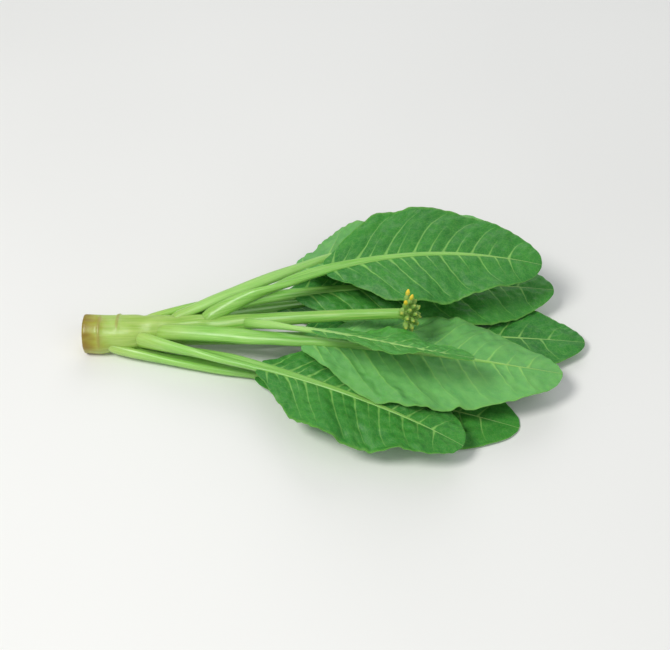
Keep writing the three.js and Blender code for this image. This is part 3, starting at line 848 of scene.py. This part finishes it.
DARK_LEAF = (30, 108, 44), (42, 128, 46)
LIGHT_LEAF = (64, 152, 54), (80, 166, 58)
LEAF_MOTTLE = (74, 154, 58)
UNDERSIDE = (98, 170, 92), (116, 186, 100)
LEAF_EDGE = (124, 180, 70)
VEINLET = (138, 196, 98)
FINE_VEINLET = (140, 186, 96)
LEAF_VEIN = (152, 208, 108)
STALK_FOOT = (156, 192, 82), (176, 208, 106)
STALK_MIDDLE = (132, 196, 78), (154, 212, 102)
STALK_NECK = (116, 184, 74), (138, 200, 92)
UPPER_FOOT = (134, 192, 80)  # of a stalk that joins the slender part of the stem
PALE_STALK = (178, 222, 132)
DARK_STALK = (108, 174, 64)
STALK_STREAK = (184, 226, 136)
MIDRIB = (150, 208, 106)
STEM_SKIN = (154, 190, 80), (174, 206, 104)
UPPER_STEM = (128, 190, 78)
STEM_STREAK = (196, 216, 130)
OCHRE_SKIN = (168, 148, 44)
BROWN_SKIN = (132, 100, 28)
SCAR_CORK = (158, 136, 72)
PITH = (206, 204, 148), (226, 222, 176)
FIBRES = (170, 158, 86), (204, 196, 128)
RIND = (196, 196, 116)
CUT_RIM = (140, 112, 48)
CUT_STAIN = (166, 136, 70)
SEPALS = (116, 160, 66), (142, 180, 84)
SEPAL_FOOT = (150, 188, 92)
SEPAL_TIP = (198, 200, 84)
PETALS = (208, 200, 66), (244, 212, 58)
FLOOR_COLOUR = (238, 238, 236), (242, 242, 240)


def shader_colour(on_screen):
    """A shader's colour for one of 0 to 255 on screen."""
    channels = np.array(on_screen) / 255
    linear = np.where(channels <= 0.04045, channels / 12.92, ((channels + 0.055) / 1.055) ** 2.4)
    return (*linear.tolist(), 1)


class Paint:
    """A procedural material that is being put together."""

    def __init__(self, name, specular, flesh=None, coat=None):
        """flesh is how much light goes in, how far for each colour and in how many mm. coat is its weight
        and roughness."""
        self.material = bpy.data.materials.new(name)
        self.material.use_nodes = True
        self.tree = self.material.node_tree
        self.shader = self.tree.nodes["Principled BSDF"]
        inputs = self.shader.inputs
        inputs["Specular IOR Level"].default_value = specular
        if flesh:
            inputs["Subsurface Weight"].default_value = flesh[0]
            inputs["Subsurface Radius"].default_value = flesh[1]
            inputs["Subsurface Scale"].default_value = flesh[2] * MM
        if coat:
            inputs["Coat Weight"].default_value, inputs["Coat Roughness"].default_value = coat

    def node(self, kind, inputs=None, **settings):
        made = self.tree.nodes.new("ShaderNode" + kind)
        for key, value in settings.items():
            setattr(made, key, value)
        for key, value in (inputs or {}).items():
            self.feed(made.inputs[key], value)
        return made

    def feed(self, socket, value):
        if isinstance(value, bpy.types.NodeSocket):
            self.tree.links.new(value, socket)
        else:
            socket.default_value = shader_colour(value) if socket.type == "RGBA" else value

    def attribute(self, name):
        return self.node("Attribute", attribute_name=name).outputs["Fac"]

    def uv(self, scale=(1, 1, 1)):
        """Place on the piece in mm, stretched by scale."""
        flat = self.node("UVMap", uv_map="leaf_uv").outputs["UV"]
        return self.node("Mapping", {"Vector": flat, "Scale": scale}).outputs["Vector"]

    def solid(self):
        """Place in the object, in mm."""
        where = self.node("TexCoord").outputs["Object"]
        return self.node("Mapping", {"Vector": where, "Scale": (1 / MM,) * 3}).outputs["Vector"]

    def wobbled(self, where, pitch, amount):
        """The same place, moved about a little, so that lines drawn from it bend."""
        moved = self.node("TexNoise", {"Vector": where, "Scale": 1 / pitch, "Detail": 1}).outputs["Color"]
        moved = self.node("VectorMath", {0: moved, 1: (0.5,) * 3}, operation="SUBTRACT").outputs["Vector"]
        moved = self.node("VectorMath", {0: moved, 1: (amount,) * 3}, operation="MULTIPLY").outputs["Vector"]
        return self.node("VectorMath", {0: where, 1: moved}, operation="ADD").outputs["Vector"]

    def noise(self, where, pitch, detail=3.0):
        inputs = {"Vector": where, "Scale": 1 / pitch, "Detail": detail}
        return self.node("TexNoise", inputs).outputs["Fac"]

    def cells(self, where, pitch):
        """0 on the walls between cells, rising inside them."""
        inputs = {"Vector": where, "Scale": 1 / pitch}
        made = self.node("TexVoronoi", inputs, feature="DISTANCE_TO_EDGE")
        return made.outputs["Distance"]

    def remap(self, value, low, high, to_low=0.0, to_high=1.0):
        inputs = {"Value": value, "From Min": low, "From Max": high, "To Min": to_low, "To Max": to_high}
        return self.node("MapRange", inputs, interpolation_type="SMOOTHSTEP").outputs["Result"]

    def mix(self, share, a, b):
        made = self.node("Mix", data_type="RGBA")
        for index, value in ((0, share), (6, a), (7, b)):
            self.feed(made.inputs[index], value)
        return made.outputs[2]

    def patches(self, noise, pair, low=0.35, high=0.65):
        """A colour that goes from one of a pair to the other with a noise."""
        return self.mix(self.remap(noise, low, high), *pair)

    def tint(self, base, tint, share, most):
        """base moved towards a colour by share, at most by most."""
        return self.mix(self.math("MULTIPLY", share, most), base, tint)

    def math(self, operation, a, b=0.0):
        return self.node("Math", {0: a, 1: b}, operation=operation).outputs["Value"]

    def bump(self, height, distance, strength=1.0, after=None):
        """Relief of a height from 0 to 1, distance mm high."""
        inputs = {"Height": height, "Distance": distance * MM, "Strength": strength}
        if after is not None:
            inputs["Normal"] = after
        return self.node("Bump", inputs).outputs["Normal"]

    def finish(self, base, roughness, normal):
        self.feed(self.shader.inputs["Base Color"], base)
        self.feed(self.shader.inputs["Roughness"], roughness)
        self.feed(self.shader.inputs["Normal"], normal)
        return self.material


def blade_material():
    p = Paint("leaf_blade", 0.34, flesh=(0.22, (0.5, 1.0, 0.2), 1.2))
    flat, under = p.uv(), p.attribute("under")
    dark = p.patches(p.noise(flat, 30), DARK_LEAF)
    light = p.patches(p.noise(flat, 24), LIGHT_LEAF)
    base = p.mix(p.attribute("shade"), light, dark)
    base = p.tint(base, LEAF_MOTTLE, p.remap(p.noise(flat, 5, 4), 0.3, 0.7), 0.35)
    base = p.mix(under, base, p.patches(p.noise(flat, 9, 4), UNDERSIDE, 0.3, 0.7))
    # Towards the edge and round the veins the green is a little yellower
    base = p.tint(base, LEAF_EDGE, p.remap(p.attribute("edge"), 0.93, 1.0), 0.4)
    bent = p.wobbled(flat, 1.6, 1.5)
    veinlets, fine_veinlets = p.cells(bent, 2.2), p.cells(bent, 0.8)
    base = p.tint(base, VEINLET, p.remap(veinlets, 0.0, 0.1, 1, 0), 0.16)
    base = p.tint(base, FINE_VEINLET, p.remap(fine_veinlets, 0.0, 0.14, 1, 0), 0.1)
    paleness = p.remap(p.noise(flat, 16), 0.3, 0.7, 0.5, 0.8)
    base = p.tint(base, LEAF_VEIN, p.remap(p.attribute("vein"), 0.08, 0.75), paleness)
    rough = p.remap(p.noise(flat, 3), 0.3, 0.7, -0.05, 0.06)
    rough = p.math("ADD", p.remap(under, 0, 1, 0.5, 0.66), rough)
    normal = p.bump(veinlets, 0.16, 0.6)
    normal = p.bump(fine_veinlets, 0.05, 0.6, normal)
    normal = p.bump(p.noise(flat, 0.6, 2), 0.03, 0.5, normal)
    return p.finish(base, rough, normal)


def stalk_material():
    p = Paint("leaf_stalk", 0.45, flesh=(0.35, (0.7, 1.0, 0.35), 4), coat=(0.12, 0.25))
    along, shade = p.attribute("stalk"), p.attribute("shade")
    streak = p.noise(p.uv((1, 0.035, 1)), 0.9, 4)
    broad = p.noise(p.uv((1, 0.12, 1)), 5, 3)
    foot = p.mix(p.remap(p.attribute("joint"), 22, 90), p.patches(broad, STALK_FOOT), UPPER_FOOT)
    base = p.mix(p.remap(along, 0.1, 0.5), foot, p.patches(broad, STALK_MIDDLE))
    base = p.mix(p.remap(along, 0.55, 1.0), base, p.patches(broad, STALK_NECK))
    # The stalks of the paler leaves are paler too
    beyond_foot = p.remap(along, 0.08, 0.4)
    base = p.tint(base, PALE_STALK, p.remap(shade, 0.55, 0.25, 0, 0.55), beyond_foot)
    base = p.tint(base, DARK_STALK, p.remap(shade, 0.6, 0.9, 0, 0.4), beyond_foot)
    base = p.tint(base, MIDRIB, p.remap(p.attribute("rib"), 0.2, 0.9), 0.5)
    base = p.tint(base, STALK_STREAK, p.remap(streak, 0.42, 0.62), 0.35)
    normal = p.bump(streak, 0.12, 0.5)
    normal = p.bump(p.noise(p.uv((1, 0.3, 1)), 0.5, 2), 0.03, 0.4, normal)
    return p.finish(base, p.remap(streak, 0.3, 0.7, 0.3, 0.42), normal)


def stem_material():
    p = Paint("stem_skin", 0.42, flesh=(0.3, (0.8, 1.0, 0.35), 4), coat=(0.08, 0.3))
    along, cut, radial = p.attribute("along"), p.attribute("cut"), p.attribute("radial")
    streak = p.noise(p.uv((1, 0.05, 1)), 1.2, 4)
    broad = p.noise(p.uv((1, 0.3, 1)), 7, 3)
    base = p.mix(p.remap(along, 22, 100), p.patches(broad, STEM_SKIN), UPPER_STEM)
    base = p.tint(base, STEM_STREAK, p.remap(streak, 0.42, 0.64), 0.4)
    # Towards the cut the skin yellows and browns
    worn = p.math("ADD", along, p.remap(broad, 0.2, 0.8, -5, 5))
    base = p.mix(p.remap(worn, 17, 2, 0, 0.75), base, OCHRE_SKIN)
    base = p.mix(p.remap(worn, 7, -2, 0, 0.8), base, BROWN_SKIN)
    base = p.tint(base, SCAR_CORK, p.remap(p.attribute("scar"), 0.15, 0.8), 0.55)
    # The cut face: a pale pith, a ring of fibres and a browned rim
    fibre = p.noise(p.solid(), 1.1, 4)
    face = p.mix(p.remap(radial, 0.58, 0.7), p.patches(fibre, PITH), p.patches(fibre, FIBRES, 0.4, 0.6))
    face = p.mix(p.remap(radial, 0.8, 0.88), face, RIND)
    face = p.mix(p.remap(radial, 0.92, 1.0), face, CUT_RIM)
    face = p.mix(p.remap(p.noise(p.solid(), 5, 3), 0.5, 0.7, 0, 0.5), face, CUT_STAIN)
    base = p.mix(cut, base, face)
    rough = p.math("ADD", p.remap(cut, 0, 1, 0.38, 0.7), p.remap(streak, 0.3, 0.7, -0.05, 0.06))
    normal = p.bump(streak, 0.14, 0.5)
    normal = p.bump(p.noise(p.solid(), 0.8, 3), 0.12, 0.5, normal)
    return p.finish(base, rough, normal)


def bud_material():
    p = Paint("flower_buds", 0.4, flesh=(0.25, (0.7, 1.0, 0.3), 1.5))
    height = p.attribute("height")
    spots = p.noise(p.solid(), 2.2, 3)
    base = p.mix(p.remap(height, 0.1, 0.5), SEPAL_FOOT, p.patches(spots, SEPALS))
    base = p.mix(p.remap(height, 0.68, 1.0, 0, 0.75), base, SEPAL_TIP)
    base = p.mix(p.attribute("petal"), base, p.patches(height, PETALS, 0.35, 0.8))
    normal = p.bump(p.noise(p.solid(), 0.5, 3), 0.08, 0.5)
    return p.finish(base, p.remap(spots, 0.3, 0.7, 0.45, 0.58), normal)


# Floor, light and camera

FLOOR_SIZE = 6000.0
AIM = (125.0, 0.0, 16.0)
CAMERA_ELEVATION = 45.0
CAMERA_DISTANCE = 700.0
CAMERA_LENS = 68.0
CAMERA_NEAR, CAMERA_FAR = 0.01, 50  # metres
SKY_TINT = (0.94, 0.97, 1.0, 1)
SKY_STRENGTH = 0.36
# Discs of light: place and size in metres, power in watts, and tint
LIGHTS = {
    "key": ((-0.55, -0.5, 1.25), 0.5, 13, (1, 0.985, 0.95)),
    "fill": ((0.9, -0.7, 0.9), 1.2, 3, (1, 1, 1)),
    "back": ((0.3, 1.2, 0.9), 1.0, 4, (1, 1, 1)),
}


def build_floor():
    mesh = bpy.data.meshes.new("floor")
    half = FLOOR_SIZE / 2 * MM
    corners = [(-half, -half, 0), (half, -half, 0), (half, half, 0), (-half, half, 0)]
    mesh.from_pydata(corners, [], [(0, 1, 2, 3)])
    p = Paint("floor", 0.2)
    base = p.patches(p.noise(p.solid(), 400, 2), FLOOR_COLOUR, 0.3, 0.7)
    mesh.materials.append(p.finish(base, 0.8, p.bump(p.noise(p.solid(), 2), 0.02, 0.1)))
    put("floor", mesh)


def area_light(name, place_at, size, energy, tint):
    data = bpy.data.lights.new(name, "AREA")
    data.shape = "DISK"
    data.size, data.energy, data.color = size, energy, tint
    lamp = put(name, data)
    lamp.location = place_at
    lamp.rotation_euler = (Vector(AIM) * MM - lamp.location).to_track_quat("-Z", "Y").to_euler()


def build_light():
    world = bpy.data.worlds.new("room")
    bpy.context.scene.world = world
    world.use_nodes = True
    background = world.node_tree.nodes["Background"]
    background.inputs["Color"].default_value = SKY_TINT
    background.inputs["Strength"].default_value = SKY_STRENGTH
    for name, values in LIGHTS.items():
        area_light(name, *values)


def build_camera():
    data = bpy.data.cameras.new("camera")
    data.lens = CAMERA_LENS
    data.clip_start, data.clip_end = CAMERA_NEAR, CAMERA_FAR
    camera = put("camera", data)
    rise = np.radians(CAMERA_ELEVATION)
    back = Vector((0, -np.cos(rise), np.sin(rise)))
    camera.location = (Vector(AIM) + back * CAMERA_DISTANCE) * MM
    camera.rotation_euler = (-back).to_track_quat("-Z", "Y").to_euler()
    bpy.context.scene.camera = camera


def build_plant():
    blade, stalk = blade_material(), stalk_material()
    for number, one in enumerate(LEAVES):
        rng = np.random.default_rng(SEED * 100 + number)
        build_blade(one, blade, rng)
        build_stalk(one, stalk, rng)
    build_stem(stem_material())
    build_buds(bud_material())


build_plant()
build_floor()
build_light()
build_camera()
bpy.context.scene.view_settings.view_transform = "Standard"
